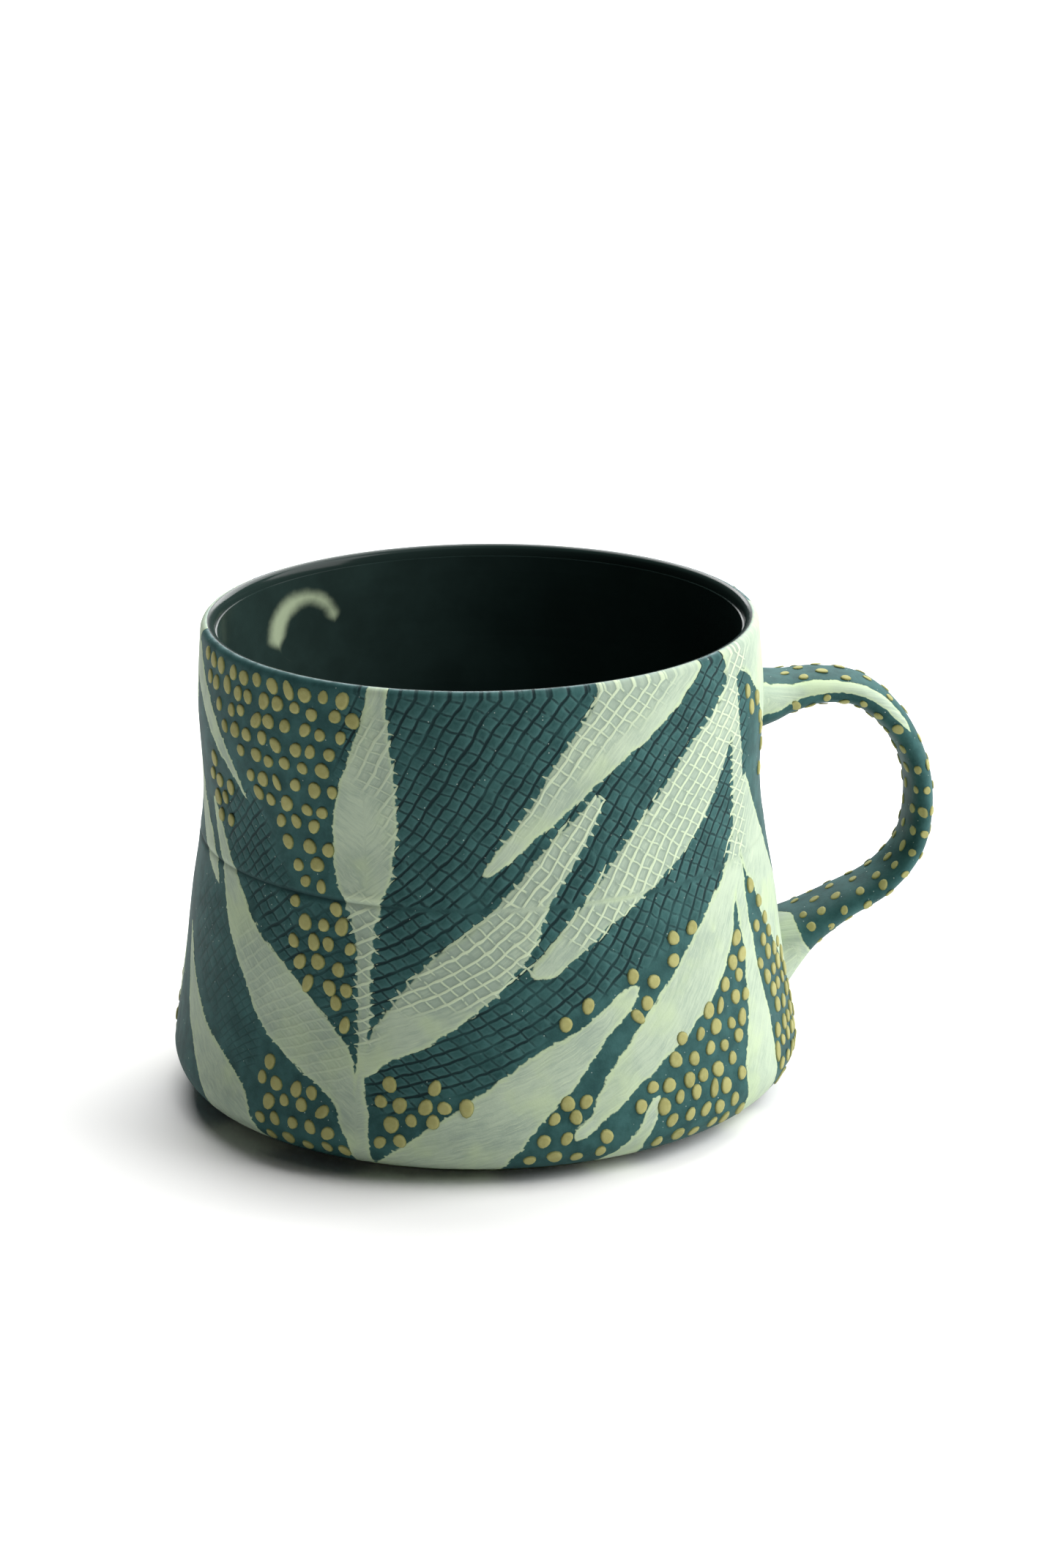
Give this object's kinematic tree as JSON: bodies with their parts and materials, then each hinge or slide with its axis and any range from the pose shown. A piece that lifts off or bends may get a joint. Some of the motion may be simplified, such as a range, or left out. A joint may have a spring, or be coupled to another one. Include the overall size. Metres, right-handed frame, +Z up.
{
  "type": "stoneware mug",
  "caption": "Hand-built stoneware mug with a strap handle, a low foot ring, a dark liner glaze and raised slip dots over a leaf and net pattern.",
  "frame": {"origin": "centre of the foot, on the plane that the mug stands on", "axes": "+Z up along the mug's axis, out of the mouth; +X out through the middle of the handle"},
  "size_m": [0.1263, 0.1032, 0.0795],
  "materials": {
    "slip_decorated_clay": "matte teal engobe with pale leaf slip",
    "bare_clay": "matte bare stoneware",
    "handle_clay": "matte teal engobe",
    "liner_glaze": "glossy near-black green glaze",
    "slip_dots": "matte ochre slip"
  },
  "bodies": {
    "root": {"upper_wall": "slip_decorated_clay", "lower_wall": "slip_decorated_clay", "floor_slab": "bare_clay", "corner_coil": "bare_clay", "foot_ring": "bare_clay", "handle": "handle_clay", "liner_glaze": "liner_glaze", "upper_dots": "slip_dots", "lower_dots": "slip_dots", "handle_dots": "slip_dots"}
  },
  "joints": []
}
